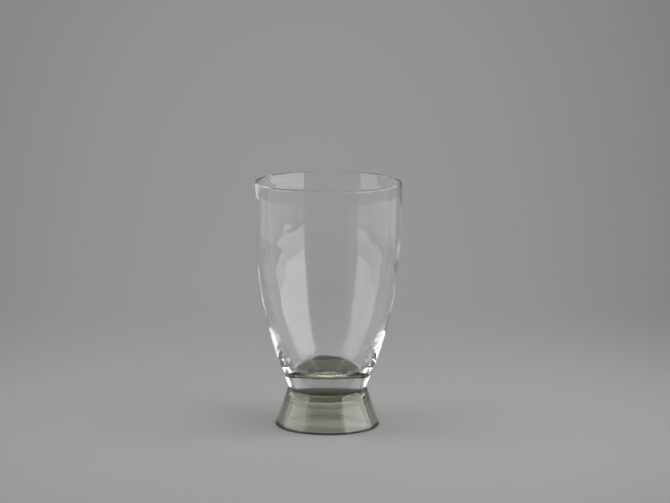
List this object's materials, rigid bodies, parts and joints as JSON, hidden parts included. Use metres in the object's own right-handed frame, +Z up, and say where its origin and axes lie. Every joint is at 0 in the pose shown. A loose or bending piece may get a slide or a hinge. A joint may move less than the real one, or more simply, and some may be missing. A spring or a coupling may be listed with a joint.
{
  "type": "footed tumbler",
  "caption": "Footed drinking glass: a clear cup with a thick domed base, fused onto a hollow smoke-grey cone foot.",
  "frame": {"origin": "centre of the foot's resting ring, on the table", "axes": "+Z up the axis of the glass; X and Y level, alike by symmetry"},
  "size_m": [0.0744, 0.0744, 0.125],
  "materials": {
    "clear_glass": "fire-polished, clear",
    "smoke_glass": "pressed and polished, smoke grey with an olive cast"
  },
  "bodies": {
    "root": {"cup": "clear_glass", "foot": "smoke_glass"}
  },
  "joints": []
}
